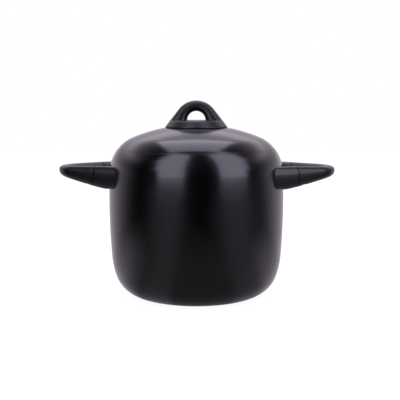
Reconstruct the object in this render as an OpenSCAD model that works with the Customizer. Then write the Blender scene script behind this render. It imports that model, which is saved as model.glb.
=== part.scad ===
/* [Pot body] */
// Widest diameter of the pot, at its belly
belly_d = 231; // [200:1:260]
// Thickness of the pressed wall
wall_t = 2.5; // [1.5:0.1:4]
// Thickness of the base
base_t = 4; // [3:0.1:8]
// Radius of the round corner between base and wall
corner_r = 39.5; // [32:0.5:52]
// Radius of the softer curve above that corner
heel_r = 102; // [75:1:160]
// Inward lean of the wall where the corner ends
corner_lean = 20; // [15:0.5:32]
// Inward lean of the wall where the heel ends
low_lean = 4.5; // [3:0.25:10]
// Height of the gently bulging wall between heel and shoulder
wall_h = 113.5; // [85:0.5:150]
// Inward lean of the wall where the shoulder starts
top_lean = 2.75; // [1:0.25:8]
// Radius of the round shoulder that runs on into the lid
shoulder_r = 50; // [42:0.5:66]

/* [Rim] */
// How far the rim lies inside the belly
mouth_inset = 11.5; // [8:0.5:18]
// Width of the flat rim that the lid rests on
rim_w = 4; // [3:0.25:8]
// Rounding of the rim's outer edge
rim_round = 0.8; // [0.4:0.1:2]

/* [Lid] */
// Thickness of the pressed lid
lid_t = 2; // [1.2:0.1:3]
// Lean of the shoulder's normal where the flatter crown starts
crown_lean = 68; // [58:0.5:74]
// Step from the rim's outer edge in to the lid's edge
lid_inset = 0.4; // [0:0.1:2]
// Rounding of the lid's outer edge
lid_round = 0.4; // [0.2:0.1:1.4]
// Depth of the ring that centres the lid in the mouth
skirt_h = 9; // [4:0.5:16]
// Clearance between that ring and the mouth
skirt_gap = 1; // [0.4:0.1:2]

/* [Knob] */
// Diameter of the knob's round foot
knob_d = 82; // [70:1:96]
// Height of the knob above its seat
knob_h = 35; // [31:0.5:44]
// Radius of the knob's rounded top, seen from the front
knob_top_r = 29; // [25:0.5:33]
// Thickness of the foot at its centre
foot_t = 9.5; // [7.5:0.5:11]
// Upright lip round the foot
foot_lip = 1; // [0.5:0.1:2]
// Depth of the arch at its top, front to back
arch_depth = 18; // [14:0.5:26]
// How much deeper the arch is at the foot
arch_flare = 6; // [0:0.5:10]
// Radius of the finger hole
finger_r = 12; // [9:0.5:12.5]
// Width of the ring of foot that overhangs the flat seat
foot_overhang = 5; // [3:0.5:8]

/* [Handles] */
// Reach of each handle beyond the belly
handle_reach = 67; // [58:1:84]
// Outer radius of the round end, seen from above
tip_r = 31; // [27:0.5:36]
// Width of the bar that the handle is bent from
bar_w = 16; // [14:0.5:20]
// Angle by which each arm spreads towards the pot
arm_spread = 22; // [14:0.5:26]
// Straight length of grip between the round end and the joint
grip_arm = 33; // [26:1:38]
// Drop of the handle's top below the rim
handle_drop = 20; // [16:0.5:30]
// Height of the handle at the pot
root_h = 29.5; // [25:0.5:34]
// Fall of the top from the pot to the tip
top_fall = 2; // [0:0.2:5]
// Rise of the underside from the pot to the tip
under_rise = 16.5; // [8:0.5:18]
// Width of the bevel on both sides of the joint
joint_bevel = 0.8; // [0.3:0.1:1.5]
// Thickness of the ferrule's side walls
ferrule_t = 3; // [2:0.25:3.5]

/* [Fittings] */
// Thickness of the bracket's pad
pad_t = 2; // [1.5:0.1:3]
// Width of the bracket's tongue
tongue_w = 9; // [7:0.25:9.5]
// Thickness of the bracket's tongue
tongue_t = 3; // [2:0.1:3.4]
// Length of tongue inside the grip
tongue_in = 17; // [14:0.5:22]
// Diameter of the rivets
rivet_d = 3.2; // [2.4:0.1:3.6]
// Diameter of the rivet heads
rivet_head_d = 5; // [4.4:0.1:5.4]
// Distance between a pair of rivets
rivet_pitch = 9.6; // [9.4:0.1:10.4]
// Diameter of the grip screws
grip_screw_d = 4; // [3:0.1:4.5]
// Distance of the grip screws from the joint
grip_screw_in = 10; // [7:0.5:11]
// Diameter of the knob screw
knob_screw_d = 5; // [4:0.1:6]
// Diameter of the knob's threaded insert
insert_d = 10; // [8:0.5:12]
// Diameter of the washer under the lid
washer_d = 16; // [12:0.5:22]
// Thickness of the washer under the lid
washer_t = 1.2; // [0.8:0.1:2]

/* [Clearances] */
// Gap between curved faces that seat on each other
seat_gap = 0.15; // [0.05:0.05:0.3]
// Gap between the halves of the handle joint
joint_gap = 0.3; // [0.1:0.05:0.5]
// Gap round the tongue in its slots
slot_gap = 0.2; // [0.1:0.05:0.4]
// Gap round the pad inside the ferrule
pad_gap = 0.4; // [0.2:0.1:0.8]
// Radial gap round screws and rivets in their holes
hole_gap = 0.1; // [0.05:0.05:0.3]

/* [Hidden] */
$fn = 96;
fastener_fn = 32;

// Steps along each stretch of an outline
corner_steps = 12;
heel_steps = 4;
wall_steps = 7;
shoulder_steps = 9;
crown_steps = 10;
edge_steps = 5;

// The pot's outline is a chain of arcs that run smoothly into each other.
// Each point of an arc is named by the lean of its normal above the horizontal.
belly_r = belly_d / 2;
wall_arc_r = wall_h / (sin(top_lean) + sin(low_lean));
belly_z = corner_r + (heel_r - corner_r) * sin(corner_lean) + (wall_arc_r - heel_r) * sin(low_lean);
wall_c = [belly_r - wall_arc_r, belly_z];
heel_c = wall_c + (wall_arc_r - heel_r) * aim(-low_lean);
corner_c = heel_c + (heel_r - corner_r) * aim(-corner_lean);
shoulder_c = wall_c + (wall_arc_r - shoulder_r) * aim(top_lean);
crown_start = shoulder_c + shoulder_r * aim(crown_lean);
crown_r = crown_start[0] / cos(crown_lean);
crown_c = [0, crown_start[1] - crown_r * sin(crown_lean)];

// Rim and mouth
rim_r = belly_r - mouth_inset;
rim_z = shoulder_c[1] + shoulder_r * sin(acos((rim_r - shoulder_c[0]) / shoulder_r));
mouth_r = rim_r - rim_w;

// Lid
skirt_r = mouth_r - skirt_gap;
lid_edge_lean = shoulder_lean_at(rim_z, -lid_inset);
lid_edge_r = shoulder_c[0] + (shoulder_r - lid_inset) * cos(lid_edge_lean);
foot_r = knob_d / 2;
seat_r = foot_r - foot_overhang;
seat_lean = acos(seat_r / (crown_r - lid_inset));
seat_z = crown_c[1] + (crown_r - lid_inset) * sin(seat_lean);

// Knob: its sides lie on the tangents from the foot's edge to the rounded top
foot_edge_lean = acos(foot_r / (crown_r - lid_inset + seat_gap));
foot_edge_z = crown_c[1] + (crown_r - lid_inset + seat_gap) * sin(foot_edge_lean) + foot_lip;
knob_top_z = seat_z + knob_h;
knob_c = [0, knob_top_z - knob_top_r];
foot_edge = [foot_r, foot_edge_z];
foot_reach = norm(foot_edge - knob_c);
side_lean = atan2(foot_edge[1] - knob_c[1], foot_edge[0]) + acos(knob_top_r / foot_reach);
side_n = aim(side_lean);
foot_top_z = seat_z + foot_t;
finger_rise = 0.5;
finger_c = [0, foot_top_z + finger_rise];
foot_round = 3;
arch_sink = 3;
arch_steps = 28;
arch_points = 24;
arch_round = 2.7;

// Knob fixing: the insert stops short of the foot's top, and the screw short of the insert's end
insert_cover = 1.5;
insert_h = foot_t - insert_cover;
bore_left = 0.5;
screw_short = 0.8;
knob_screw_end = seat_z + insert_h - screw_short;
knob_head_h = 2.6;
knob_head_r = 0.9 * knob_screw_d;

// Cross recess of a screw head: its length as a share of the head, its width and depth
cross_share = 0.6;
cross_w = 0.9;
cross_t = 1.2;

// Handles
joint_rise = 0.8;
bevel_share = 0.7;
widest_share = 0.38;
top_power = 4.5;
under_power = 2.6;
bar_points = 32;
tip_steps = 20;
arm_steps = 5;
ferrule_steps = 4;
rise_power = 1.2;
tip_x = belly_r + handle_reach;
tip_c = [tip_x - tip_r, 0];
path_r = tip_r - bar_w / 2;
root_top_z = rim_z - handle_drop;
joint_on_path = tip_c + path_r * aim(90 - arm_spread) + grip_arm * aim(180 - arm_spread);
joint_z = (bar_top(joint_on_path[0]) + bar_under(joint_on_path[0])) / 2 + joint_rise;

// Where the middle of an arm meets the wall
wall_here_r = wall_r_at(joint_z);
ferrule_len = line_to_circle(joint_on_path, aim(180 - arm_spread), wall_here_r);
pad_at = joint_on_path + ferrule_len * aim(180 - arm_spread);
pad_turn = atan2(pad_at[1], pad_at[0]);
past_wall = 12;
pocket_w = bar_w - 2 * ferrule_t;
pocket_h = 15.8;
end_wall = 3;
pad_w = pocket_w - 2 * pad_gap;
pad_h = pocket_h - 2 * pad_gap;
rivet_head_h = 1.2;
grip_head_r = 3.6;
grip_head_h = 2.4;
grip_head_sink = 1;
grip_bore_past = 1.5;
grip_screw_past = 1;
sink_gap = 0.4;
grip_screw_x = joint_on_path[0] + grip_screw_in * cos(arm_spread);
grip_head_z = bar_under(grip_screw_x) + grip_head_sink;
sink_r = grip_head_r + sink_gap;
rivet_bore_l = 6 * wall_t;
deep = 60;
lap = 1;

function aim(a) = [cos(a), sin(a)];
function arc(c, r, a0, a1, n, first = 0) = [for (i = [first:n]) c + r * aim(a0 + (a1 - a0) * i / n)];
function flip(list) = [for (i = [len(list) - 1:-1:0]) list[i]];
function turned(v, a) = [v[0] * cos(a) - v[1] * sin(a), v[0] * sin(a) + v[1] * cos(a)];
function soft(v, power) = sign(v) * pow(abs(v), 2 / power);

// A corner at p, reached along u and left along v, rounded by an arc of radius r
function rounded(p, u, v, r) =
    let (turn = acos(u * v), side = sign(u[0] * v[1] - u[1] * v[0]))
    let (n = side * [-u[1], u[0]], c = p - r * tan(turn / 2) * u + r * n)
    [for (i = [0:edge_steps]) c + turned(-r * n, side * turn * i / edge_steps)];

// Lean of the shoulder's normal at a height, on an outline moved out by d
function shoulder_lean_at(z, d) = asin((z - shoulder_c[1]) / (shoulder_r + d));

// Radius of the wall's outside at a height
function wall_r_at(z) =
    z > shoulder_c[1] + shoulder_r * sin(top_lean)
    ? shoulder_c[0] + sqrt(pow(shoulder_r, 2) - pow(z - shoulder_c[1], 2))
    : wall_c[0] + sqrt(pow(wall_arc_r, 2) - pow(z - wall_c[1], 2));

// Lean of the wall's normal at a height
function wall_lean_at(z) =
    z > shoulder_c[1] + shoulder_r * sin(top_lean)
    ? asin((z - shoulder_c[1]) / shoulder_r)
    : asin((z - wall_c[1]) / wall_arc_r);

// Distance from p along the unit vector u to the circle of radius r round the pot's axis
function line_to_circle(p, u, r) =
    let (b = p * u)
    -b - sqrt(b * b - p * p + r * r);

// The side of the pot from the base up to the shoulder, moved out by d
function side(d, a0) = concat(
    arc(corner_c, corner_r + d, a0, -corner_lean, corner_steps),
    arc(heel_c, heel_r + d, -corner_lean, -low_lean, heel_steps, 1),
    arc(wall_c, wall_arc_r + d, -low_lean, top_lean, wall_steps, 1)
);

// The closed outside of pot and lid together, moved out by d
module whole_outside(d) {
    rotate_extrude() polygon(concat(
        [[0, -d]],
        side(d, -90),
        arc(shoulder_c, shoulder_r + d, top_lean, crown_lean, shoulder_steps, 1),
        arc(crown_c, crown_r + d, crown_lean, 90, crown_steps, 1)
    ));
}

// One handle arm's own frame: the joint is the origin, and +X runs out to the tip
module on_arm(sx, sy) {
    mirror([sx < 0 ? 1 : 0, 0, 0])
        mirror([0, sy < 0 ? 1 : 0, 0])
            translate([joint_on_path[0], joint_on_path[1], joint_z])
                rotate([0, 0, -arm_spread])
                    children();
}

// Places children along the wall's normal behind one arm, one above and one below the tongue
module on_rivets(sx, sy) {
    mirror([sx < 0 ? 1 : 0, 0, 0])
        mirror([0, sy < 0 ? 1 : 0, 0])
            for (up = [-1, 1]) {
                z = joint_z + up * rivet_pitch / 2;
                rotate([0, 0, pad_turn])
                    translate([wall_r_at(z), 0, z])
                        rotate([0, 90 - wall_lean_at(z), 0])
                            children();
            }
}

module pot_body() {
    floor_lean = asin((base_t - corner_c[1]) / (corner_r - wall_t));
    rim_lean = shoulder_lean_at(rim_z, 0);
    under_lean = shoulder_lean_at(rim_z - wall_t, -wall_t);
    outside = concat(
        [[0, 0]],
        side(0, -90),
        arc(shoulder_c, shoulder_r, top_lean, rim_lean, shoulder_steps, 1)
    );
    inside = concat(
        side(-wall_t, floor_lean),
        arc(shoulder_c, shoulder_r - wall_t, top_lean, under_lean, shoulder_steps, 1)
    );
    edge = rounded([rim_r, rim_z], aim(90 + rim_lean), [-1, 0], rim_round);
    color("#17171a")
        difference() {
            rotate_extrude() polygon(concat(
                [for (i = [0:len(outside) - 2]) outside[i]],
                edge,
                [[mouth_r, rim_z], [mouth_r, rim_z - wall_t]],
                flip(inside),
                [[0, base_t]]
            ));
            for (sx = [-1, 1])
                for (sy = [-1, 1])
                    on_rivets(sx, sy)
                        translate([0, 0, -rivet_bore_l / 2])
                            cylinder(r = rivet_d / 2 + hole_gap, h = rivet_bore_l, $fn = fastener_fn);
        }
}

module lid() {
    d = -lid_inset;
    skirt_in_r = skirt_r - lid_t;
    inner_r = shoulder_r + d - lid_t;
    inner_lean = acos((skirt_in_r - shoulder_c[0]) / inner_r);
    inner_seat_lean = asin((seat_z - lid_t - crown_c[1]) / (crown_r + d - lid_t));
    outside = concat(
        arc(shoulder_c, shoulder_r + d, lid_edge_lean, crown_lean, shoulder_steps),
        arc(crown_c, crown_r + d, crown_lean, seat_lean, crown_steps, 1)
    );
    inside = concat(
        arc(shoulder_c, inner_r, inner_lean, crown_lean, shoulder_steps),
        arc(crown_c, crown_r + d - lid_t, crown_lean, inner_seat_lean, crown_steps, 1)
    );
    edge = rounded([lid_edge_r, rim_z], [1, 0], aim(90 + lid_edge_lean), lid_round);
    color("#1b1b1f")
        difference() {
            rotate_extrude() polygon(concat(
                [[0, seat_z - lid_t]],
                flip(inside),
                [[skirt_in_r, rim_z - skirt_h], [skirt_r, rim_z - skirt_h], [skirt_r, rim_z]],
                edge,
                [for (i = [1:len(outside) - 1]) outside[i]],
                [[0, seat_z]]
            ));
            translate([0, 0, seat_z - 2 * lid_t])
                cylinder(r = knob_screw_d / 2 + hole_gap, h = 4 * lid_t, $fn = fastener_fn);
        }
}

// Distance from the finger hole's centre along u to the knob's outline
function knob_outline_at(p, u) =
    let (q = p - knob_c, b = q * u, t = -b + sqrt(b * b - q * q + pow(knob_top_r, 2)), hit = q + t * u)
    let (n = [sign(hit[0]) * side_n[0], side_n[1]])
    atan2(hit[1], abs(hit[0])) >= side_lean ? t : (knob_top_r - n * q) / (n * u);

// One rounded section of the arch, from the hole's edge a to the outline b
function arch_ring(a, b, depth) =
    let (m = (a + b) / 2, half = (b - a) / 2)
    [for (i = [0:arch_points - 1])
        let (w = aim(360 * i / arch_points), s = soft(w[0], arch_round), t = soft(w[1], arch_round))
        [m[0] + half[0] * s, depth / 2 * t, m[1] + half[1] * s]];

function arch_depth_at(z) = arch_depth + arch_flare * pow((knob_top_z - z) / knob_h, 2);

function foot_ring(sx) =
    let (a = [sx * finger_r, finger_c[1] - arch_sink], u = [sx, 0])
    arch_ring(a, a + knob_outline_at(a, u) * u, arch_depth_at(a[1]));

// Skin over a row of rings that all have the same number of points
module skin(rings) {
    n = len(rings[0]);
    last = len(rings) - 1;
    polyhedron(
        points = [for (ring = rings) for (p = ring) p],
        faces = concat(
            [[for (i = [0:n - 1]) i]],
            [for (k = [0:last - 1]) for (i = [0:n - 1])
                let (j = (i + 1) % n)
                [k * n + i, (k + 1) * n + i, (k + 1) * n + j, k * n + j]],
            [[for (i = [n - 1:-1:0]) last * n + i]]
        )
    );
}

module knob() {
    arch = [for (i = [0:arch_steps])
        let (u = aim(180 * i / arch_steps), a = finger_c + finger_r * u)
        arch_ring(a, finger_c + knob_outline_at(finger_c, u) * u, arch_depth_at(a[1]))];
    top_r = foot_r - (foot_top_z - foot_edge_z) * tan(side_lean);
    color("#26262a")
        difference() {
            union() {
                rotate_extrude() polygon(concat(
                    [[0, seat_z], [seat_r, seat_z]],
                    arc(crown_c, crown_r - lid_inset + seat_gap, seat_lean, foot_edge_lean, 2),
                    [foot_edge],
                    rounded([top_r, foot_top_z], aim(90 + side_lean), [-1, 0], foot_round),
                    [[0, foot_top_z]]
                ));
                skin(concat([foot_ring(1)], arch, [foot_ring(-1)]));
            }
            translate([0, 0, seat_z - lap])
                cylinder(r = insert_d / 2, h = insert_h + lap, $fn = fastener_fn);
        }
}

module knob_insert() {
    color("#b08d3f")
        difference() {
            translate([0, 0, seat_z])
                cylinder(r = insert_d / 2, h = insert_h, $fn = fastener_fn);
            translate([0, 0, seat_z - lap])
                cylinder(r = knob_screw_d / 2 + hole_gap, h = insert_h + lap - bore_left, $fn = fastener_fn);
        }
}

// The cross recess in the underside of a screw head of radius r
module cross_recess(r) {
    for (a = [0, 90])
        rotate([0, 0, a])
            translate([-cross_share * r, -cross_w / 2, -lap])
                cube([2 * cross_share * r, cross_w, cross_t + lap]);
}

module knob_screw() {
    head_z = seat_z - lid_t - washer_t;
    color("#c8c8cc")
        union() {
            translate([0, 0, head_z - lap])
                cylinder(r = knob_screw_d / 2, h = knob_screw_end - head_z + lap, $fn = fastener_fn);
            difference() {
                translate([0, 0, head_z - knob_head_h])
                    cylinder(r = knob_head_r, h = knob_head_h, $fn = fastener_fn);
                translate([0, 0, head_z - knob_head_h])
                    cross_recess(knob_head_r);
            }
        }
}

module knob_washer() {
    color("#c8c8cc")
        translate([0, 0, seat_z - lid_t - washer_t])
            difference() {
                cylinder(r = washer_d / 2, h = washer_t, $fn = fastener_fn);
                translate([0, 0, -lap])
                    cylinder(r = knob_screw_d / 2 + hole_gap, h = washer_t + 2 * lap, $fn = fastener_fn);
            }
}

// Top and underside of the handle's bar at a distance x from the pot's axis
function reach_share(x) = max(0, (x - belly_r) / handle_reach);
function bar_top(x) = root_top_z - top_fall * pow(reach_share(x), rise_power);
function bar_under(x) = root_top_z - root_h + under_rise * pow(reach_share(x), rise_power);

// One section of the bar at p on its path, facing along the angle a, made smaller by s all round:
// nearly flat on top, full below
function bar_ring(p, a, s) =
    let (top = bar_top(p[0]) - s, under = bar_under(p[0]) + s, half = bar_w / 2 - s)
    let (wide_z = top - (top - under) * widest_share)
    [for (i = [0:bar_points - 1])
        let (w = aim(360 * i / bar_points), up = w[1] > 0, power = up ? top_power : under_power)
        let (x = half * soft(w[0], power), z = soft(w[1], power) * (up ? top - wide_z : wide_z - under))
        [p[0] - x * sin(a), p[1] + x * cos(a), wide_z + z]];

function on_straight(t) = joint_on_path + t * aim(-arm_spread);
function straight_ring(t, s = 0) = bar_ring(on_straight(t), -arm_spread, s);

module grip() {
    half = concat(
        [straight_ring(joint_gap / 2, bevel_share * joint_bevel), straight_ring(joint_gap / 2 + joint_bevel)],
        [for (i = [1:arm_steps]) straight_ring(joint_bevel + (grip_arm - joint_bevel) * i / arm_steps)],
        [for (i = [1:tip_steps / 2])
            let (a = (90 - arm_spread) * (1 - i / (tip_steps / 2)))
            bar_ring(tip_c + path_r * aim(a), a - 90, 0)]
    );
    other_half = [for (k = [len(half) - 2:-1:0]) [for (p = half[k]) [p[0], -p[1], p[2]]]];
    color("#202024")
        difference() {
            skin(concat(half, other_half));
            for (sy = [-1, 1]) {
                on_arm(1, sy)
                    translate([-lap, -tongue_w / 2 - slot_gap, -tongue_t / 2 - slot_gap])
                        cube([tongue_in + slot_gap + lap, tongue_w + 2 * slot_gap, tongue_t + 2 * slot_gap]);
                on_arm(1, sy)
                    translate([grip_screw_in, 0, grip_head_z - joint_z])
                        cylinder(r = grip_screw_d / 2 + hole_gap,
                            h = joint_z + tongue_t + grip_bore_past - grip_head_z, $fn = fastener_fn);
                on_arm(1, sy)
                    translate([grip_screw_in, 0, grip_head_z + grip_head_h - joint_z - deep])
                        cylinder(r = sink_r, h = deep, $fn = fastener_fn);
            }
        }
}

module ferrule(sx, sy) {
    ferrule_start = ferrule_len + past_wall;
    rings = concat(
        [for (i = [0:ferrule_steps])
            straight_ring(joint_bevel * (-i / ferrule_steps) - ferrule_start * (1 - i / ferrule_steps))],
        [straight_ring(-joint_gap / 2, bevel_share * joint_bevel)]
    );
    color("#2a2a2e")
        difference() {
            mirror([sx < 0 ? 1 : 0, 0, 0])
                mirror([0, sy < 0 ? 1 : 0, 0])
                    skin(rings);
            on_arm(sx, sy)
                translate([-deep, -pocket_w / 2, -pocket_h / 2])
                    cube([deep - end_wall, pocket_w, pocket_h]);
            on_arm(sx, sy)
                translate([-end_wall - lap, -tongue_w / 2 - slot_gap, -tongue_t / 2 - slot_gap])
                    cube([end_wall + 2 * lap, tongue_w + 2 * slot_gap, tongue_t + 2 * slot_gap]);
            whole_outside(seat_gap);
        }
}

module bracket(sx, sy) {
    color("#9a9a9e")
        difference() {
            union() {
                on_arm(sx, sy)
                    translate([-ferrule_len - past_wall, -tongue_w / 2, -tongue_t / 2])
                        cube([ferrule_len + past_wall + tongue_in, tongue_w, tongue_t]);
                intersection() {
                    whole_outside(seat_gap + pad_t);
                    on_arm(sx, sy)
                        translate([-ferrule_len - past_wall, -pad_w / 2, -pad_h / 2])
                            cube([ferrule_len + past_wall - end_wall - pad_gap, pad_w, pad_h]);
                }
            }
            whole_outside(seat_gap);
            on_rivets(sx, sy)
                translate([0, 0, -rivet_bore_l / 2])
                    cylinder(r = rivet_d / 2 + hole_gap, h = rivet_bore_l, $fn = fastener_fn);
            on_arm(sx, sy)
                translate([grip_screw_in, 0, -tongue_t])
                    cylinder(r = grip_screw_d / 2 + hole_gap, h = 2 * tongue_t, $fn = fastener_fn);
        }
}

module rivets(sx, sy) {
    // The inner head lies on a hollow curve, so it stands off by its own rise plus the seat's gap
    stand = pow(rivet_head_d / 2, 2) / (2 * (shoulder_r - wall_t)) + seat_gap;
    color("#b4b4b8")
        on_rivets(sx, sy) {
            translate([0, 0, -wall_t - stand])
                cylinder(r = rivet_d / 2, h = wall_t + stand + 2 * seat_gap + pad_t, $fn = fastener_fn);
            translate([0, 0, 2 * seat_gap + pad_t])
                cylinder(r = rivet_head_d / 2, h = rivet_head_h, $fn = fastener_fn);
            translate([0, 0, -wall_t - stand - rivet_head_h])
                cylinder(r = rivet_head_d / 2, h = rivet_head_h, $fn = fastener_fn);
        }
}

module grip_screw(sx, sy) {
    seat = grip_head_z + grip_head_h - joint_z;
    color("#c8c8cc")
        on_arm(sx, sy)
            translate([grip_screw_in, 0, 0])
                union() {
                    translate([0, 0, seat - lap])
                        cylinder(r = grip_screw_d / 2,
                            h = tongue_t + grip_screw_past - seat + lap, $fn = fastener_fn);
                    difference() {
                        translate([0, 0, seat - grip_head_h])
                            cylinder(r = grip_head_r, h = grip_head_h, $fn = fastener_fn);
                        translate([0, 0, seat - grip_head_h])
                            cross_recess(grip_head_r);
                    }
                }
}

module left_grip() mirror([1, 0, 0]) grip();
module right_grip() grip();

pot_body();
lid();
knob();
knob_insert();
knob_screw();
knob_washer();
left_grip();
right_grip();
ferrule(-1, -1);  // left_front_ferrule
ferrule(-1, 1);  // left_rear_ferrule
ferrule(1, -1);  // right_front_ferrule
ferrule(1, 1);  // right_rear_ferrule
bracket(-1, -1);  // left_front_bracket
bracket(-1, 1);  // left_rear_bracket
bracket(1, -1);  // right_front_bracket
bracket(1, 1);  // right_rear_bracket
rivets(-1, -1);  // left_front_rivets
rivets(-1, 1);  // left_rear_rivets
rivets(1, -1);  // right_front_rivets
rivets(1, 1);  // right_rear_rivets
grip_screw(-1, -1);  // left_front_screw
grip_screw(-1, 1);  // left_rear_screw
grip_screw(1, -1);  // right_front_screw
grip_screw(1, 1);  // right_rear_screw
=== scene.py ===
from math import acos, asin, atan2, cos, degrees, pi, radians, sin, sqrt, tan

import bmesh
import bpy
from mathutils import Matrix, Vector


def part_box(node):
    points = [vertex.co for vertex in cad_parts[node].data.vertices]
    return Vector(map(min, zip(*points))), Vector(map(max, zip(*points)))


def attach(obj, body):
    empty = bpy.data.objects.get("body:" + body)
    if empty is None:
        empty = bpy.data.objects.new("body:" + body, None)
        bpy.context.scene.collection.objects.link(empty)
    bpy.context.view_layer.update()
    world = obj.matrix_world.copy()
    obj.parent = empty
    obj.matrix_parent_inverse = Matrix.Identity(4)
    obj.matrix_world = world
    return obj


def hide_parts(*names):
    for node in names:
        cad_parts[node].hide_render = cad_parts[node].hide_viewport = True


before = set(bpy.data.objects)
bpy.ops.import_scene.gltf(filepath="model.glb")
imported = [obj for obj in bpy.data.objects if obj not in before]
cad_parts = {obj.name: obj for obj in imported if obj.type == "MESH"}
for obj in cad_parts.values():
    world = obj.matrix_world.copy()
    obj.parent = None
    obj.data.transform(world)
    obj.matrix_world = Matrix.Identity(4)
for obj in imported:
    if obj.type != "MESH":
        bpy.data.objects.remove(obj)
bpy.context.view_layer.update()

mm = 0.001
sharpAngle = 40              # degrees; edges sharper than this stay sharp


def say(stage):
    print("scene:", stage)


def linear(hexColour, alpha=True):
    values = [int(hexColour[i:i + 2], 16) / 255 for i in (1, 3, 5)]
    values = [v / 12.92 if v <= 0.04045 else ((v + 0.055) / 1.055) ** 2.4 for v in values]
    return tuple(values + [1.0]) if alpha else tuple(values)


# Adds a node; settings that start with in_ are socket values, links are (socket, source) pairs
def addNode(tree, kind, links=(), **settings):
    node = tree.nodes.new(kind)
    for name, value in settings.items():
        if not name.startswith("in_"):
            setattr(node, name, value)
    for name, value in settings.items():
        if name.startswith("in_"):
            node.inputs[name[3:].replace("_", " ")].default_value = value
    for socket, source in links:
        tree.links.new(source, node.inputs[socket])
    return node


# Camera and light

view = {
    "azimuth": 2.0,          # degrees round from the front, towards the right-hand handle
    "distance": 1.1063,      # level distance from the pot's axis
    "height": 0.2663,        # above the table
    "pitch": 7.22,           # degrees down
    "pan": 0.25,             # degrees to the right, which puts the pot a little left of centre
    "lens": 75.2,
    "sensor": 36.0,
    "clip": (0.05, 20.0),
}

studio = {
    "tint": "#ece7ff",       # the lamps' faintly violet white
    "roomTint": "#faf0fe",   # the sweep and the table, as the pot mirrors them
    # upright boxes: degrees round from the camera's side, level distance, width,
    # low and high edge, radiance; the wings widen a box where it stands high
    "uprights": {
        "leftSoftbox": (-32.0, 1.5, 0.91, 0.14, 3.9, 3.8),
        "leftWing": (-51.8, 1.5, 0.16, 0.6, 3.9, 3.3),
        "leftWingTip": (-57.8, 1.5, 0.15, 1.15, 3.9, 3.0),
        "rightSoftbox": (47.6, 1.5, 0.98, 0.14, 3.9, 3.8),
        "rightWing": (69.2, 1.5, 0.17, 0.6, 3.9, 3.3),
        "rightWingTip": (75.6, 1.5, 0.16, 1.15, 3.9, 3.0),
    },
    # the panel overhead: middle, width, depth, radiance
    "panel": ((-0.05, 0.5, 1.7), 1.26, 1.6, 3.1),
    "frontGlow": 0.006,      # the dark room behind the camera, as a glossy face sees it
    "backGlow": 0.86,        # the white sweep behind the pot
    "sweepStart": -0.25,     # the sweep starts and is full at this part of the way to the back,
    "sweepFull": 0.62,       # where -1 is the front, 0 the side and 1 the back
    "skyPeak": 2.4,          # factor on the sweep at its brightest height
    # height as the sine of the elevation, and the share of that peak
    "sky": ((0.0, 0.51), (0.08, 0.49), (0.22, 0.36), (0.36, 0.4),
            (0.48, 0.92), (0.56, 0.8), (0.66, 0.4), (0.85, 0.16)),
}

floorLook = {
    "size": 6.0,
    "shown": "#70707a",      # the share of the light that the camera sees on it, for a faint shadow
    "glow": 0.93,            # what the camera sees of it before any light falls on it
    "nearGlow": (0.24, 0.8), # the lit table near the pot as the pot mirrors it, in front and beside
    "besideFrom": -0.75,     # where the second starts, -1 being the front
    "nearEnd": (0.22, 0.75), # metres over which both fade
    "bandGlow": 0.4,         # below the softboxes; from the left to the right, with its share there
    "bands": ((-1.0, 0.0), (-0.9, 0.1), (-0.75, 0.75), (-0.6, 1.0), (-0.4, 1.0), (-0.2, 0.3), (0.0, 0.0),
              (0.25, 0.0), (0.5, 0.5), (0.65, 1.0), (0.88, 1.1), (0.96, 0.6), (1.0, 0.4)),
}


def makeCamera():
    data = bpy.data.cameras.new("photoCamera")
    data.lens = view["lens"]
    data.sensor_width = view["sensor"]
    data.clip_start, data.clip_end = view["clip"]
    cam = bpy.data.objects.new("photoCamera", data)
    bpy.context.scene.collection.objects.link(cam)
    a = radians(view["azimuth"])
    cam.location = (view["distance"] * sin(a), -view["distance"] * cos(a), view["height"])
    cam.rotation_euler = (radians(90 - view["pitch"]), 0, a - radians(view["pan"]))
    bpy.context.scene.camera = cam


def addLamp(name, place, target, width, height, radiance):
    data = bpy.data.lights.new(name, "AREA")
    data.shape = "RECTANGLE"
    data.size = width
    data.size_y = height
    data.energy = radiance * pi * width * height
    data.color = linear(studio["tint"], alpha=False)
    lamp = bpy.data.objects.new(name, data)
    bpy.context.scene.collection.objects.link(lamp)
    lamp.location = place
    lamp.rotation_euler = (target - place).to_track_quat("-Z", "Y").to_euler()


def makeSoftboxes():
    for name, (az, dist, width, low, high, radiance) in studio["uprights"].items():
        a = radians(az + view["azimuth"])
        place = Vector((dist * sin(a), -dist * cos(a), (low + high) / 2))
        addLamp(name, place, Vector((0, 0, place.z)), width, high - low, radiance)
    middle, width, depth, radiance = studio["panel"]
    addLamp("overheadPanel", Vector(middle), Vector(middle) - Vector((0, 0, 1)), width, depth, radiance)


# A curve through (position, share) stops, times a factor
def rampNode(tree, value, stops, factor):
    curve = addNode(tree, "ShaderNodeValToRGB", [("Fac", value)])
    ramp = curve.color_ramp
    while len(ramp.elements) < len(stops):
        ramp.elements.new(1.0)
    for stop, (position, share) in zip(ramp.elements, stops):
        stop.position = position
        stop.color = (share, share, share, 1)
    scaled = addNode(tree, "ShaderNodeMath", [(0, curve.outputs["Color"])], operation="MULTIPLY")
    scaled.inputs[1].default_value = factor
    return scaled


# The white sweep's brightness in a direction: dark in front, white from the sides round to the back
def sweepNodes(tree, direction):
    axes = addNode(tree, "ShaderNodeSeparateXYZ", [(0, direction)])
    sweep = addNode(tree, "ShaderNodeMapRange", [("Value", axes.outputs["Y"])],
                    interpolation_type="SMOOTHSTEP",
                    in_From_Min=studio["sweepStart"], in_From_Max=studio["sweepFull"],
                    in_To_Min=studio["frontGlow"], in_To_Max=studio["backGlow"])
    return axes, sweep.outputs["Result"]


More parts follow.
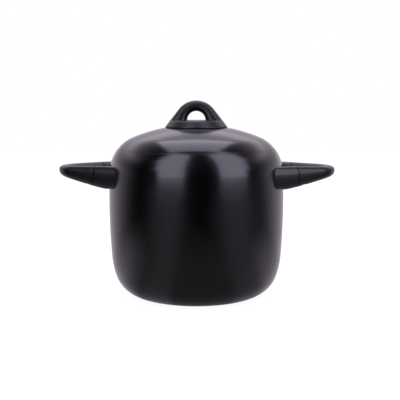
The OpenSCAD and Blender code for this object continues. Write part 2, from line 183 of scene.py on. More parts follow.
def makeWorld():
    world = bpy.data.worlds.new("whiteStudio")
    bpy.context.scene.world = world
    world.use_nodes = True
    tree = world.node_tree
    tree.nodes.clear()
    coord = addNode(tree, "ShaderNodeTexCoord")
    axes, sweep = sweepNodes(tree, coord.outputs["Generated"])
    peak = rampNode(tree, axes.outputs["Z"], studio["sky"], studio["skyPeak"])
    strength = addNode(tree, "ShaderNodeMath", [(0, sweep), (1, peak.outputs[0])], operation="MULTIPLY")
    room = addNode(tree, "ShaderNodeBackground", [("Strength", strength.outputs[0])],
                   in_Color=linear(studio["roomTint"]))
    white = addNode(tree, "ShaderNodeBackground", in_Color=(1, 1, 1, 1), in_Strength=1.0)
    path = addNode(tree, "ShaderNodeLightPath")
    mix = addNode(tree, "ShaderNodeMixShader",
                  [(0, path.outputs["Is Camera Ray"]), (1, room.outputs[0]), (2, white.outputs[0])])
    addNode(tree, "ShaderNodeOutputWorld", [("Surface", mix.outputs[0])])


# White to the camera, with the pot's faint shadow; the pot itself mirrors a lit table that goes dark
# towards the camera, a dim band below each softbox, and the white sweep at the sides and back
def floorMaterial():
    mat = bpy.data.materials.new("paintedFloor")
    mat.use_nodes = True
    tree = mat.node_tree
    tree.nodes.clear()
    coord = addNode(tree, "ShaderNodeTexCoord")
    way = addNode(tree, "ShaderNodeVectorMath", [(0, coord.outputs["Object"])], operation="NORMALIZE")
    axes, sweep = sweepNodes(tree, way.outputs[0])
    reach = addNode(tree, "ShaderNodeVectorMath", [(0, coord.outputs["Object"])], operation="LENGTH")
    beside = addNode(tree, "ShaderNodeMapRange", [("Value", axes.outputs["Y"])],
                     interpolation_type="SMOOTHSTEP",
                     in_From_Min=floorLook["besideFrom"], in_From_Max=0.0,
                     in_To_Min=floorLook["nearGlow"][0], in_To_Max=floorLook["nearGlow"][1])
    near = addNode(tree, "ShaderNodeMapRange",
                   [("Value", reach.outputs["Value"]), ("To Min", beside.outputs["Result"])],
                   interpolation_type="SMOOTHSTEP", in_From_Min=floorLook["nearEnd"][0],
                   in_From_Max=floorLook["nearEnd"][1], in_To_Max=0.0)
    across = addNode(tree, "ShaderNodeMapRange", [("Value", axes.outputs["X"])], in_From_Min=-1.0)
    lit = rampNode(tree, across.outputs["Result"], [((x + 1) / 2, share) for x, share in floorLook["bands"]],
                   floorLook["bandGlow"])
    front = addNode(tree, "ShaderNodeMath", [(0, near.outputs["Result"]), (1, lit.outputs[0])],
                    operation="MAXIMUM")
    whole = addNode(tree, "ShaderNodeMath", [(0, front.outputs[0]), (1, sweep)], operation="MAXIMUM")
    mirrored = addNode(tree, "ShaderNodeEmission", [("Strength", whole.outputs[0])],
                       in_Color=linear(studio["roomTint"]))
    shown = addNode(tree, "ShaderNodeBsdfDiffuse", in_Color=linear(floorLook["shown"]))
    glow = addNode(tree, "ShaderNodeEmission", in_Color=(1, 1, 1, 1), in_Strength=floorLook["glow"])
    both = addNode(tree, "ShaderNodeAddShader", [(0, shown.outputs[0]), (1, glow.outputs[0])])
    path = addNode(tree, "ShaderNodeLightPath")
    mix = addNode(tree, "ShaderNodeMixShader",
                  [(0, path.outputs["Is Camera Ray"]), (1, mirrored.outputs[0]), (2, both.outputs[0])])
    addNode(tree, "ShaderNodeOutputMaterial", [("Surface", mix.outputs[0])])
    return mat


def makeFloor():
    mesh = bpy.data.meshes.new("studioFloor")
    s = floorLook["size"] / 2
    mesh.from_pydata([(-s, -s, 0), (s, -s, 0), (s, s, 0), (-s, s, 0)], [], [(0, 1, 2, 3)])
    floor = bpy.data.objects.new("studioFloor", mesh)
    bpy.context.scene.collection.objects.link(floor)
    mesh.materials.append(floorMaterial())


makeCamera()
makeSoftboxes()
makeWorld()
makeFloor()
say("studio")


# Outlines, in millimetres and degrees; each arc's points are named by the lean of their normal

bodyLow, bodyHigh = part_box("pot_body")
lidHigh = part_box("lid")[1]
knobLow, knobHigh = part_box("knob")
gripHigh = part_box("right_grip")[1]

pot = {
    "wall": 2.5,
    "base": 4.0,
    "cornerR": 39.5,
    "heelR": 102.0,
    "cornerLean": 20.0,
    "lowLean": 4.5,
    "wallH": 113.5,
    "topLean": 2.75,
    "shoulderR": 50.0,
    "rimW": 4.0,
    "rimRound": 0.5,
    "lipRound": 0.5,
    "around": 192,           # faces round the axis
}

lid = {
    "crownLean": 68.0,
    "thick": 2.0,
    "inset": 0.15,
    "edgeRound": 0.25,
    "skirtH": 9.0,
    "skirtGap": 1.0,
    "skirtRound": 0.6,
    "edgeStep": 0.05,        # the crown's points start this far above the edge's round
    "footOverhang": 5.0,
}


def aim(a):
    return Vector((cos(radians(a)), sin(radians(a))))


def arc(centre, radius, a0, a1, steps, first=0):
    return [centre + radius * aim(a0 + (a1 - a0) * i / steps) for i in range(first, steps + 1)]


# A corner at p, reached along u and left along v, rounded by an arc of radius r
def rounded(p, u, v, r, steps=8):
    turn = acos(max(-1, min(1, u.dot(v))))
    side = 1 if u.x * v.y - u.y * v.x > 0 else -1
    n = side * Vector((-u.y, u.x))
    c = p - r * tan(turn / 2) * u + r * n
    points = []
    for i in range(steps + 1):
        a = side * turn * i / steps
        w = -r * n
        points.append(c + Vector((w.x * cos(a) - w.y * sin(a), w.x * sin(a) + w.y * cos(a))))
    return points


bellyR = (bodyHigh.x - bodyLow.x) / 2 / mm
rimZ = bodyHigh.z / mm
wallArcR = pot["wallH"] / (sin(radians(pot["topLean"])) + sin(radians(pot["lowLean"])))
bellyZ = (pot["cornerR"] + (pot["heelR"] - pot["cornerR"]) * sin(radians(pot["cornerLean"]))
          + (wallArcR - pot["heelR"]) * sin(radians(pot["lowLean"])))
wallC = Vector((bellyR - wallArcR, bellyZ))
heelC = wallC + (wallArcR - pot["heelR"]) * aim(-pot["lowLean"])
cornerC = heelC + (pot["heelR"] - pot["cornerR"]) * aim(-pot["cornerLean"])
shoulderC = wallC + (wallArcR - pot["shoulderR"]) * aim(pot["topLean"])
crownStart = shoulderC + pot["shoulderR"] * aim(lid["crownLean"])
crownR = crownStart.x / cos(radians(lid["crownLean"]))
crownC = Vector((0, crownStart.y - crownR * sin(radians(lid["crownLean"]))))


def shoulderLean(z, d):
    return degrees(asin((z - shoulderC.y) / (pot["shoulderR"] + d)))


rimR = shoulderC.x + pot["shoulderR"] * cos(radians(shoulderLean(rimZ, 0)))
mouthR = rimR - pot["rimW"]


def sideProfile(d, a0):
    return (arc(cornerC, pot["cornerR"] + d, a0, -pot["cornerLean"], 40)
            + arc(heelC, pot["heelR"] + d, -pot["cornerLean"], -pot["lowLean"], 14, 1)
            + arc(wallC, wallArcR + d, -pot["lowLean"], pot["topLean"], 24, 1))


# Turns an outline from axis to axis round Z into a closed mesh
def turnedMesh(name, outline, around):
    mesh = bpy.data.meshes.new(name)
    points, rings = [], []
    for p in outline:
        if p.x < 1e-6:
            rings.append([len(points)])
            points.append((0, 0, p.y * mm))
        else:
            rings.append(list(range(len(points), len(points) + around)))
            for i in range(around):
                a = 2 * pi * i / around
                points.append((p.x * mm * cos(a), p.x * mm * sin(a), p.y * mm))
    faces = []
    for low, high in zip(rings, rings[1:]):
        for i in range(around):
            j = (i + 1) % around
            if len(low) == 1 and len(high) > 1:
                faces.append((low[0], high[j], high[i]))
            elif len(high) == 1 and len(low) > 1:
                faces.append((low[i], low[j], high[0]))
            elif len(low) > 1:
                faces.append((low[i], low[j], high[j], high[i]))
    mesh.from_pydata(points, [], faces)
    return finishedMesh(name, mesh)


def finishedMesh(name, mesh):
    work = bmesh.new()
    work.from_mesh(mesh)
    bmesh.ops.remove_doubles(work, verts=work.verts, dist=1e-7)
    bmesh.ops.recalc_face_normals(work, faces=work.faces)
    for face in work.faces:
        face.smooth = True
    work.to_mesh(mesh)
    work.free()
    mesh.validate()
    thing = bpy.data.objects.new(name, mesh)
    bpy.context.scene.collection.objects.link(thing)
    return thing


# Skin over a row of rings with the same number of points, closed at both ends
def skinnedMesh(name, rings):
    mesh = bpy.data.meshes.new(name)
    n = len(rings[0])
    points = [tuple(c * mm for c in p) for ring in rings for p in ring]
    faces = [tuple(range(n - 1, -1, -1)), tuple((len(rings) - 1) * n + i for i in range(n))]
    for k in range(len(rings) - 1):
        for i in range(n):
            j = (i + 1) % n
            faces.append((k * n + i, k * n + j, (k + 1) * n + j, (k + 1) * n + i))
    mesh.from_pydata(points, [], faces)
    return finishedMesh(name, mesh)


# Replaces an object's mesh by what its modifiers make of it
def applied(thing):
    graph = bpy.context.evaluated_depsgraph_get()
    mesh = bpy.data.meshes.new_from_object(thing.evaluated_get(graph))
    thing.modifiers.clear()
    thing.data = mesh
    return thing


def cut(thing, cutters):
    for cutter in cutters:
        tool = thing.modifiers.new("cut", "BOOLEAN")
        tool.operation = "DIFFERENCE"
        tool.solver = "EXACT"
        tool.object = cutter
    applied(thing)
    for cutter in cutters:
        bpy.data.objects.remove(cutter)
    for polygon in thing.data.polygons:
        polygon.use_smooth = True
    thing.data.set_sharp_from_angle(angle=radians(sharpAngle))


# Materials

coatingLook = {
    "body": "#020203",
    "lid": "#030304",
    "roughness": 0.19,
    "orangePeel": 1.6,       # mm between the coating's soft waves
    "orangePeelDepth": 0.02, # mm
    "peelStrength": 0.25,
    "speck": 0.45,           # mm, the grit of the sprayed coat; drawn a little coarse so that it shows
    "speckDepth": 0.008,     # mm
    "speckStrength": 0.18,
    "cloudScale": 18.0,      # per metre, wide patches of slightly duller gloss
    "cloudSpread": (-0.02, 0.03),
}


# Silicone-polyester coating sprayed on pressed aluminium: a deep black with a satin gloss,
# blurred reflections and a faint orange peel
def satinCoating(name, colour, roughness, shine=0.5):
    mat = bpy.data.materials.new(name)
    mat.use_nodes = True
    tree = mat.node_tree
    tree.nodes.clear()
    coord = addNode(tree, "ShaderNodeTexCoord")
    peel = addNode(tree, "ShaderNodeTexNoise", [("Vector", coord.outputs["Object"])],
                   in_Scale=1 / (coatingLook["orangePeel"] * mm), in_Detail=2.0, in_Roughness=0.5)
    grit = addNode(tree, "ShaderNodeTexNoise", [("Vector", coord.outputs["Object"])],
                   in_Scale=1 / (coatingLook["speck"] * mm), in_Detail=1.0, in_Roughness=0.5)
    cloud = addNode(tree, "ShaderNodeTexNoise", [("Vector", coord.outputs["Object"])],
                    in_Scale=coatingLook["cloudScale"], in_Detail=4.0, in_Roughness=0.6)
    waves = addNode(tree, "ShaderNodeBump", [("Height", peel.outputs["Fac"])],
                    in_Strength=coatingLook["peelStrength"],
                    in_Distance=coatingLook["orangePeelDepth"] * mm)
    fine = addNode(tree, "ShaderNodeBump",
                   [("Height", grit.outputs["Fac"]), ("Normal", waves.outputs["Normal"])],
                   in_Strength=coatingLook["speckStrength"], in_Distance=coatingLook["speckDepth"] * mm)
    rough = addNode(tree, "ShaderNodeMapRange", [("Value", cloud.outputs["Fac"])],
                    in_From_Min=0.3, in_From_Max=0.7,
                    in_To_Min=roughness + coatingLook["cloudSpread"][0],
                    in_To_Max=roughness + coatingLook["cloudSpread"][1])
    shader = addNode(tree, "ShaderNodeBsdfPrincipled",
                     [("Roughness", rough.outputs["Result"]), ("Normal", fine.outputs["Normal"])],
                     in_Base_Color=linear(colour), in_IOR=1.5, in_Metallic=0.0, in_Specular_IOR_Level=shine)
    addNode(tree, "ShaderNodeOutputMaterial", [("Surface", shader.outputs[0])])
    return mat


mouldingLook = {
    "grip": "#040405",
    "knob": "#040405",
    "ferrule": "#040405",
    "roughness": 0.32,
    "shine": 0.3,            # share of the mirror that the matt mould leaves; 0.5 is plain resin
    "grain": 0.7,            # mm
    "grainDepth": 0.02,      # mm
    "grainStrength": 0.3,
    "cloudScale": 60.0,      # per metre
    "cloudSpread": (-0.03, 0.04),
    "knobDuller": 0.06,      # the knob's roughness above the grips'
    "ferruleRoughness": 0.29,
    "ferruleShine": 0.38,
}


# Phenolic resin with a black filler, compression moulded: slightly grey black, softer gloss than
# the coating, with a fine even grain
def mouldedPhenolic(name, colour, roughness):
    mat = bpy.data.materials.new(name)
    mat.use_nodes = True
    tree = mat.node_tree
    tree.nodes.clear()
    coord = addNode(tree, "ShaderNodeTexCoord")
    grain = addNode(tree, "ShaderNodeTexNoise", [("Vector", coord.outputs["Object"])],
                    in_Scale=1 / (mouldingLook["grain"] * mm), in_Detail=3.0, in_Roughness=0.6)
    cloud = addNode(tree, "ShaderNodeTexNoise", [("Vector", coord.outputs["Object"])],
                    in_Scale=mouldingLook["cloudScale"], in_Detail=3.0, in_Roughness=0.55)
    shade = addNode(tree, "ShaderNodeMapRange", [("Value", cloud.outputs["Fac"])],
                    in_From_Min=0.3, in_From_Max=0.7,
                    in_To_Min=roughness + mouldingLook["cloudSpread"][0],
                    in_To_Max=roughness + mouldingLook["cloudSpread"][1])
    bump = addNode(tree, "ShaderNodeBump", [("Height", grain.outputs["Fac"])],
                   in_Strength=mouldingLook["grainStrength"], in_Distance=mouldingLook["grainDepth"] * mm)
    shader = addNode(tree, "ShaderNodeBsdfPrincipled",
                     [("Roughness", shade.outputs["Result"]), ("Normal", bump.outputs["Normal"])],
                     in_Base_Color=linear(colour), in_IOR=1.55, in_Metallic=0.0,
                     in_Specular_IOR_Level=mouldingLook["shine"])
    addNode(tree, "ShaderNodeOutputMaterial", [("Surface", shader.outputs[0])])
    return mat


streaks = {"scale": 900.0, "spread": (-0.07, 0.08)}
metalLook = {
    "zinc": ("#b9bcc0", 0.32),
    "steel": ("#8f9094", 0.42),
    "aluminium": ("#c9cacc", 0.3),
    "brass": ("#c9a45c", 0.28),
}


# Plain fastener metal, rolled or turned: bright with soft streaks of roughness
def fastenerMetal(name, kind):
    colour, roughness = metalLook[kind]
    mat = bpy.data.materials.new(name)
    mat.use_nodes = True
    tree = mat.node_tree
    tree.nodes.clear()
    coord = addNode(tree, "ShaderNodeTexCoord")
    streak = addNode(tree, "ShaderNodeTexNoise", [("Vector", coord.outputs["Object"])],
                     in_Scale=streaks["scale"], in_Detail=3.0, in_Roughness=0.6)
    rough = addNode(tree, "ShaderNodeMapRange", [("Value", streak.outputs["Fac"])],
                    in_From_Min=0.3, in_From_Max=0.7,
                    in_To_Min=roughness + streaks["spread"][0], in_To_Max=roughness + streaks["spread"][1])
    shader = addNode(tree, "ShaderNodeBsdfPrincipled", [("Roughness", rough.outputs["Result"])],
                     in_Base_Color=linear(colour), in_Metallic=1.0)
    addNode(tree, "ShaderNodeOutputMaterial", [("Surface", shader.outputs[0])])
    return mat


bodyCoating = satinCoating("satinBodyCoating", coatingLook["body"], coatingLook["roughness"])
lidCoating = satinCoating("satinLidCoating", coatingLook["lid"], coatingLook["roughness"])
gripPhenolic = mouldedPhenolic("gripPhenolic", mouldingLook["grip"], mouldingLook["roughness"])
knobPhenolic = mouldedPhenolic("knobPhenolic", mouldingLook["knob"],
                               mouldingLook["roughness"] + mouldingLook["knobDuller"])
ferruleEnamel = satinCoating("ferruleEnamel", mouldingLook["ferrule"], mouldingLook["ferruleRoughness"],
                             mouldingLook["ferruleShine"])
metals = {kind: fastenerMetal(kind + "Fastener", kind) for kind in metalLook}


def dress(thing, mat, slot, *nodes):
    thing.data.materials.clear()
    thing.data.materials.append(mat)
    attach(thing, "root")
    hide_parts(*nodes)


# Body and lid

def bodyOutline():
    rimLean = shoulderLean(rimZ, 0)
    floorLean = degrees(asin((pot["base"] - cornerC.y) / (pot["cornerR"] - pot["wall"])))
    underLean = shoulderLean(rimZ - pot["wall"], -pot["wall"])
    outside = ([Vector((0, 0))] + sideProfile(0, -90)
               + arc(shoulderC, pot["shoulderR"], pot["topLean"], rimLean, 26, 1))
    inside = (sideProfile(-pot["wall"], floorLean)
              + arc(shoulderC, pot["shoulderR"] - pot["wall"], pot["topLean"], underLean, 26, 1))
    edge = rounded(Vector((rimR, rimZ)), aim(90 + rimLean), Vector((-1, 0)), pot["rimRound"])
    lip = rounded(Vector((mouthR, rimZ)), Vector((-1, 0)), Vector((0, -1)), pot["lipRound"], 4)
    return (outside[:-1] + edge + lip
            + [Vector((mouthR, rimZ - pot["wall"]))] + inside[::-1] + [Vector((0, pot["base"]))])


footR = (knobHigh.x - knobLow.x) / 2 / mm
seatR = footR - lid["footOverhang"]
seatLean = degrees(acos(seatR / (crownR - lid["inset"])))
seatZ = lidHigh.z / mm


def lidOutline():
    d = -lid["inset"]
    innerR = pot["shoulderR"] + d - lid["thick"]
    skirtR = mouthR - lid["skirtGap"]
    skirtIn = skirtR - lid["thick"]
    edgeLean = shoulderLean(rimZ, d)
    edgeR = shoulderC.x + (pot["shoulderR"] + d) * cos(radians(edgeLean))
    innerLean = degrees(acos((skirtIn - shoulderC.x) / innerR))
    innerSeat = degrees(asin((seatZ - lid["thick"] - crownC.y) / (crownR + d - lid["thick"])))
    outside = (arc(shoulderC, pot["shoulderR"] + d, edgeLean, lid["crownLean"], 26)
               + arc(crownC, crownR + d, lid["crownLean"], seatLean, 26, 1))
    inside = (arc(shoulderC, innerR, innerLean, lid["crownLean"], 26)
              + arc(crownC, crownR + d - lid["thick"], lid["crownLean"], innerSeat, 26, 1))
    edge = rounded(Vector((edgeR, rimZ)), Vector((1, 0)), aim(90 + edgeLean), lid["edgeRound"])
    tall = [p for p in outside[1:] if p.y > edge[-1].y + lid["edgeStep"]]
    skirtZ = rimZ - lid["skirtH"]
    return ([Vector((0, seatZ - lid["thick"]))] + inside[::-1]
            + rounded(Vector((skirtIn, skirtZ)), Vector((0, -1)), Vector((1, 0)), lid["skirtRound"], 4)
            + rounded(Vector((skirtR, skirtZ)), Vector((1, 0)), Vector((0, 1)), lid["skirtRound"], 4)
            + [Vector((skirtR, rimZ))] + edge + tall + [Vector((0, seatZ))])


body = turnedMesh("potShell", bodyOutline(), pot["around"])
dress(body, bodyCoating, "pot_coating", "pot_body")
lidShell = turnedMesh("lidShell", lidOutline(), pot["around"])
dress(lidShell, lidCoating, "lid_coating", "lid")
say("body and lid")


# Knob

knob = {
    "topR": 29.0,
    "footT": 8.6,
    "lip": 1.0,
    "archDepth": 18.0,
    "archFlare": 20.0,
    "fingerR": 12.0,
    "archSink": 3.0,         # the legs reach this far into the foot
    "fingerLift": 0.5,       # the hole's centre above the foot
    "footRound": 3.0,
    "around": 160,
    "sectionPower": 2.7,
    "sectionPoints": 56,
    "archSteps": 44,
    "voxel": 0.55,           # mm, the size that the two forms are melted together at
    "blend": 10,             # rounds of smoothing, which leave the fillet between them
}
seatGap = 0.15


def soft(v, power):
    return (1 if v >= 0 else -1) * abs(v) ** (2 / power)


def makeKnob():
    topZ = knobHigh.z / mm
    height = topZ - seatZ
    footBedR = crownR - lid["inset"] + seatGap
    footLean = degrees(acos(footR / footBedR))
    footEdge = Vector((footR, crownC.y + footBedR * sin(radians(footLean)) + knob["lip"]))
    centre = Vector((0, topZ - knob["topR"]))
    reach = (footEdge - centre).length
    sideLean = (degrees(atan2(footEdge.y - centre.y, footEdge.x)) + degrees(acos(knob["topR"] / reach)))
    sideN = aim(sideLean)
    footTop = seatZ + knob["footT"]
    finger = Vector((0, footTop + knob["fingerLift"]))
    topR = footR - (footTop - footEdge.y) * tan(radians(sideLean))

    def reachOf(p, u):
        q = p - centre
        b = q.dot(u)
        t = -b + sqrt(b * b - q.dot(q) + knob["topR"] ** 2)
        hit = q + t * u
        if degrees(atan2(hit.y, abs(hit.x))) >= sideLean:
            return t
        n = Vector(((1 if hit.x >= 0 else -1) * sideN.x, sideN.y))
        return (knob["topR"] - n.dot(q)) / n.dot(u)

    def ring(a, b):
        depth = knob["archDepth"] + knob["archFlare"] * ((topZ - a.y) / height) ** 2
        middle, half = (a + b) / 2, (b - a) / 2
        points = []
        for i in range(knob["sectionPoints"]):
            w = aim(360 * i / knob["sectionPoints"])
            s, t = soft(w.x, knob["sectionPower"]), soft(w.y, knob["sectionPower"])
            points.append((middle.x + half.x * s, depth / 2 * t, middle.y + half.y * s))
        return points

    def footRing(sx):
        a = Vector((sx * knob["fingerR"], finger.y - knob["archSink"]))
        u = Vector((sx, 0))
        return ring(a, a + reachOf(a, u) * u)

    steps = knob["archSteps"]
    arch = []
    for i in range(steps + 1):
        u = aim(180 * i / steps)
        arch.append(ring(finger + knob["fingerR"] * u, finger + reachOf(finger, u) * u))
    loop = skinnedMesh("knobLoop", [footRing(1)] + arch + [footRing(-1)])
    bed = arc(crownC, footBedR, seatLean, footLean, 8)
    brim = rounded(Vector((topR, footTop)), aim(90 + sideLean), Vector((-1, 0)), knob["footRound"], 8)
    footOutline = ([Vector((0, seatZ)), Vector((seatR, seatZ))] + bed + [footEdge]
                   + brim + [Vector((0, footTop))])
    foot = turnedMesh("knobMoulding", footOutline, knob["around"])
    join = foot.modifiers.new("join", "BOOLEAN")
    join.operation = "UNION"
    join.solver = "EXACT"
    join.object = loop
    melt = foot.modifiers.new("melt", "REMESH")
    melt.mode = "VOXEL"
    melt.voxel_size = knob["voxel"] * mm
    melt.use_smooth_shade = True
    ease = foot.modifiers.new("ease", "SMOOTH")
    ease.factor = 0.5
    ease.iterations = knob["blend"]
    applied(foot)
    bpy.data.objects.remove(loop)
    return foot


dress(makeKnob(), knobPhenolic, "knob_bakelite", "knob")
say("knob")


# Handles

handle = {
    "tipR": 31.0,
    "barW": 16.0,
    "spread": 22.0,
    "gripArm": 33.0,
    "drop": 20.0,
    "rootH": 29.5,
    "topFall": 2.0,
    "underRise": 16.5,
    "risePower": 1.2,
    "widestShare": 0.38,
    "topPower": 2.2,
    "underPower": 2.3,
    "bevel": 0.5,
    "gap": 0.6,
    "sectionPoints": 72,
    "tipSteps": 56,
    "armSteps": 16,
    "ferruleReach": 45.0,    # how far a root piece runs in before the wall cuts it off
    "ferruleSteps": 14,
    "screwIn": 10.0,
    "screwSink": 1.0,
    "screwHeadR": 3.6,
    "screwHeadH": 2.4,
    "wellGap": 0.4,
    "wellDeep": 20.0,        # far enough below the head to come out under the grip
}
tipX = gripHigh.x / mm
tipC = Vector((tipX - handle["tipR"], 0))
pathR = handle["tipR"] - handle["barW"] / 2
handleReach = tipX - bellyR
rootTop = rimZ - handle["drop"]
jointAt = tipC + pathR * aim(90 - handle["spread"]) + handle["gripArm"] * aim(180 - handle["spread"])


def rise(x):
    return max(0, (x - bellyR) / handleReach) ** handle["risePower"]


def barTop(x):
    return rootTop - handle["topFall"] * rise(x)


def barUnder(x):
    return rootTop - handle["rootH"] + handle["underRise"] * rise(x)


# One section of the handle's bar, widest above its middle
def barRing(p, a, s):
    top, under, half = barTop(p.x) - s, barUnder(p.x) + s, handle["barW"] / 2 - s
    wide = top - (top - under) * handle["widestShare"]
    points = []
    for i in range(handle["sectionPoints"]):
        w = aim(360 * i / handle["sectionPoints"])
        power = handle["topPower"] if w.y > 0 else handle["underPower"]
        x = half * soft(w.x, power)
        z = soft(w.y, power) * ((top - wide) if w.y > 0 else (wide - under))
        points.append((p.x - x * sin(radians(a)), p.y + x * cos(radians(a)), wide + z))
    return points


def onStraight(t, s=0.0):
    return barRing(jointAt + t * aim(-handle["spread"]), -handle["spread"], s)


# The bevel beside the joint, as a quarter round
def bevelRings(start, sign):
    r, steps = handle["bevel"], 5
    rings = []
    for i in range(steps + 1):
        a = pi / 2 * i / steps
        rings.append(onStraight(start + sign * r * (1 - cos(a)), r * (1 - sin(a))))
    return rings


def mirrored(rings, sx, sy):
    return [[(sx * p[0], sy * p[1], p[2]) for p in ring] for ring in rings]


def gripRings():
    rings = bevelRings(handle["gap"] / 2, 1)
    start = handle["gap"] / 2 + handle["bevel"]
    steps = handle["armSteps"]
    rings += [onStraight(start + (handle["gripArm"] - start) * i / steps) for i in range(1, steps + 1)]
    half = handle["tipSteps"] // 2
    for i in range(1, half + 1):
        a = (90 - handle["spread"]) * (1 - i / half)
        rings.append(barRing(tipC + pathR * aim(a), a - 90, 0))
    return rings + mirrored(rings[-2::-1], 1, -1)


def cylinder(name, centre, radius, low, high, around=48):
    rings = []
    turns = [2 * pi * i / around for i in range(around)]
    for z in (low, high):
        rings.append([(centre.x + radius * cos(a), centre.y + radius * sin(a), z) for a in turns])
    return skinnedMesh(name, rings)


def screwPlace(sx, sy):
    p = jointAt + handle["screwIn"] * aim(-handle["spread"])
    return Vector((sx * p.x, sy * p.y)), barUnder(p.x) + handle["screwSink"]


def wallCutter():
    outline = ([Vector((0, -seatGap))] + sideProfile(seatGap, -90)
               + arc(shoulderC, pot["shoulderR"] + seatGap, pot["topLean"], lid["crownLean"], 26, 1)
               + arc(crownC, crownR + seatGap, lid["crownLean"], 90, 12, 1)[:-1]
               + [Vector((0, crownC.y + crownR + seatGap))])
    return turnedMesh("wallCutter", outline, pot["around"])


def makeHandles():
    for side, sx in (("left", -1), ("right", 1)):
        grip = skinnedMesh(side + "Grip", mirrored(gripRings(), sx, 1))
        wells = []
        for sy in (-1, 1):
            p, z = screwPlace(sx, sy)
            wells.append(cylinder("well", p, handle["screwHeadR"] + handle["wellGap"],
                                  z - handle["wellDeep"], z + handle["screwHeadH"]))
        cut(grip, wells)
        dress(grip, gripPhenolic, "grip_bakelite", side + "_grip")
        for place, sy in (("front", -1), ("rear", 1)):
            steps = handle["ferruleSteps"]
            reach = handle["ferruleReach"]
            end = -handle["gap"] / 2
            rings = [onStraight(-reach + (reach - handle["bevel"] - handle["gap"] / 2) * i / steps)
                     for i in range(steps)] + bevelRings(end, -1)[::-1]
            ferrule = skinnedMesh(side + place.title() + "Ferrule", mirrored(rings, sx, sy))
            cut(ferrule, [wallCutter()])
            dress(ferrule, ferruleEnamel, "ferrule_enamel", side + "_" + place + "_ferrule")


makeHandles()
say("handles")


# Rivets and grip screws, set by geometry nodes on points that carry their axis

fastener = {
    "rivetR": 1.6,
    "rivetHeadR": 2.5,
    "rivetHeadH": 1.2,
    "rivetPitch": 9.6,
    "padOut": 2.3,           # from the wall to the outer head, over the pad
    "innerStand": 0.216,     # from the wall's inside to the inner head
    "screwR": 2.0,
    "screwPast": 4.0,        # the screw's end above the tongue's middle
    "crossShare": 0.6,
    "crossW": 0.9,
    "crossDepth": 1.2,
    "crossPast": 1.0,        # how far the cutters stand out of the head
    "domeEdge": 0.35,        # the straight share of a rivet head's height
    "headRound": 0.7,
    "tip": 0.6,              # bevel at the screw's end
    "around": 40,
    "seed": 7,
}
jointRise = 0.8
jointZ = (barTop(jointAt.x) + barUnder(jointAt.x)) / 2 + jointRise


def wallPlace(z):
    onShoulder = z > shoulderC.y + pot["shoulderR"] * sin(radians(pot["topLean"]))
    c, r = (shoulderC, pot["shoulderR"]) if onShoulder else (wallC, wallArcR)
    lean = asin((z - c.y) / r)
    return c.x + r * cos(lean), lean


# Mesh points only, each with its axis as an attribute
def pointsMesh(name, places):
    mesh = bpy.data.meshes.new(name)
    mesh.from_pydata([tuple(p * mm) for p, axis in places], [], [])
    axes = mesh.attributes.new("axis", "FLOAT_VECTOR", "POINT")
    for i, (p, axis) in enumerate(places):
        axes.data[i].vector = axis
    thing = bpy.data.objects.new(name, mesh)
    bpy.context.scene.collection.objects.link(thing)
    return thing


def fastenerTree():
    tree = bpy.data.node_groups.new("setFasteners", "GeometryNodeTree")
    sockets = {}
    for name, kind in (("Places", "Geometry"), ("Fastener", "Object"), ("Metal", "Material"),
                       ("Turn", "Float"), ("Seed", "Int")):
        socket = tree.interface.new_socket(name, in_out="INPUT", socket_type="NodeSocket" + kind)
        sockets[name] = socket.identifier
    tree.interface.new_socket("Fasteners", in_out="OUTPUT", socket_type="NodeSocketGeometry")
    given = addNode(tree, "NodeGroupInput")
    points = addNode(tree, "GeometryNodeMeshToPoints", [("Mesh", given.outputs["Places"])])
    axis = addNode(tree, "GeometryNodeInputNamedAttribute", data_type="FLOAT_VECTOR", in_Name="axis")
    upright = addNode(tree, "FunctionNodeAlignRotationToVector",
                      [("Vector", axis.outputs["Attribute"])], axis="Z")
    chance = addNode(tree, "FunctionNodeRandomValue", [("Seed", given.outputs["Seed"])], data_type="FLOAT")
    angle = addNode(tree, "ShaderNodeMath", [(0, chance.outputs[1]), (1, given.outputs["Turn"])],
                    operation="MULTIPLY")
    spin = addNode(tree, "FunctionNodeAxisAngleToRotation", [("Angle", angle.outputs[0])], in_Axis=(0, 0, 1))
    turned = addNode(tree, "FunctionNodeRotateRotation",
                     [(0, upright.outputs[0]), (1, spin.outputs[0])], rotation_space="LOCAL")
    source = addNode(tree, "GeometryNodeObjectInfo", [("Object", given.outputs["Fastener"])])
    put = addNode(tree, "GeometryNodeInstanceOnPoints",
                  [("Points", points.outputs[0]), ("Instance", source.outputs["Geometry"]),
                   ("Rotation", turned.outputs[0])])
    real = addNode(tree, "GeometryNodeRealizeInstances", [("Geometry", put.outputs[0])])
    metal = addNode(tree, "GeometryNodeSetMaterial",
                    [("Geometry", real.outputs[0]), ("Material", given.outputs["Metal"])])
    addNode(tree, "NodeGroupOutput", [("Fasteners", metal.outputs[0])])
    return tree, sockets


def setFasteners(name, one, places, metal, turn, slot, *nodes):
    thing = pointsMesh(name, places)
    tree, sockets = fastenerTree()
    tool = thing.modifiers.new("setFasteners", "NODES")
    tool.node_group = tree
    for key, value in (("Fastener", one), ("Metal", metal), ("Turn", turn), ("Seed", fastener["seed"])):
        tool[sockets[key]] = value
    applied(thing)
    bpy.data.objects.remove(one)
    thing.data.set_sharp_from_angle(angle=radians(sharpAngle))
    dress(thing, metal, slot, *nodes)


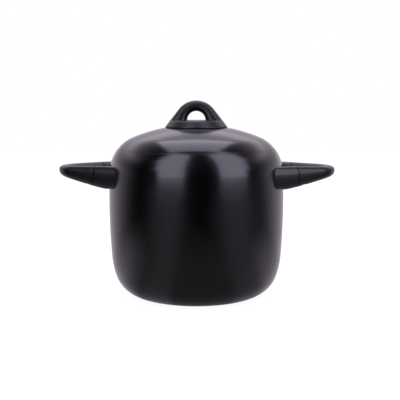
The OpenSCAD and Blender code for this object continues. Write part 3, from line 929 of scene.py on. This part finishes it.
# The rivet's two heads are low domes with a soft edge
def oneRivet():
    f = fastener
    out = f["padOut"]
    inner = -pot["wall"] - f["innerStand"]
    edge = f["domeEdge"]
    dome = [Vector((f["rivetHeadR"] * cos(a), f["rivetHeadH"] * (edge + (1 - edge) * sin(a))))
            for a in (pi / 2 * i / 8 for i in range(9))]
    dome[-1].x = 0
    low = [Vector((p.x, inner - p.y)) for p in dome[::-1]] + [Vector((f["rivetHeadR"], inner))]
    high = [Vector((f["rivetHeadR"], out))] + [Vector((p.x, out + p.y)) for p in dome]
    shank = [Vector((f["rivetR"], inner)), Vector((f["rivetR"], out))]
    return turnedMesh("oneRivet", low + shank + high, f["around"])


# Pan-head screw seen from below: head down, with a cross recess
def oneScrew(length):
    f = fastener
    r, h = handle["screwHeadR"], handle["screwHeadH"]
    head = [Vector((0, 0))] + rounded(Vector((r, 0)), Vector((1, 0)), Vector((0, 1)), f["headRound"], 6)
    shank = [Vector((r, h)), Vector((f["screwR"], h)), Vector((f["screwR"], length - f["tip"])),
             Vector((f["screwR"] - f["tip"], length)), Vector((0, length))]
    screw = turnedMesh("oneScrew", head + shank, f["around"])
    slots = []
    heights = (-f["crossPast"], f["crossDepth"])
    for along, across in ((f["crossShare"] * r, f["crossW"] / 2), (f["crossW"] / 2, f["crossShare"] * r)):
        corners = [(-along, -across), (along, -across), (along, across), (-along, across)]
        slots.append(skinnedMesh("slot", [[(x, y, z) for x, y in corners] for z in heights]))
    cut(screw, slots)
    return screw


def makeFasteners():
    along = aim(180 - handle["spread"])
    wallR = wallPlace(jointZ)[0]
    b = jointAt.dot(along)
    t = -b - sqrt(b * b - jointAt.length_squared + wallR ** 2)
    meets = jointAt + t * along
    padTurn = atan2(meets.y, meets.x)
    rivets, screws, length = [], [], 0
    for sx in (-1, 1):
        for sy in (-1, 1):
            for up in (-1, 1):
                z = jointZ + up * fastener["rivetPitch"] / 2
                r, lean = wallPlace(z)
                x, y = sx * cos(padTurn), sy * sin(padTurn)
                rivets.append((Vector((x * r, y * r, z)),
                               Vector((x * cos(lean), y * cos(lean), sin(lean)))))
            p, z = screwPlace(sx, sy)
            screws.append((Vector((p.x, p.y, z)), Vector((0, 0, 1))))
            length = jointZ + fastener["screwPast"] - z
    corners = [side + "_" + place for side in ("left", "right") for place in ("front", "rear")]
    setFasteners("handleRivets", oneRivet(), rivets, metals["aluminium"], 0.0, "rivet_aluminium",
                 *[corner + "_rivets" for corner in corners])
    setFasteners("gripScrews", oneScrew(length), screws, metals["zinc"], 2 * pi, "zinc_steel",
                 *[corner + "_screw" for corner in corners])


makeFasteners()
say("rivets and screws")


# The hidden fittings keep the frame's own solids

fittings = {"_bracket": "steel", "knob_screw": "zinc", "knob_washer": "zinc", "knob_insert": "brass"}
for nodeName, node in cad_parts.items():
    kind = next((metal for end, metal in fittings.items() if nodeName.endswith(end)), None)
    if kind:
        node.data.materials.clear()
        node.data.materials.append(metals[kind])
say("fittings")

bpy.context.scene.view_settings.view_transform = "Standard"
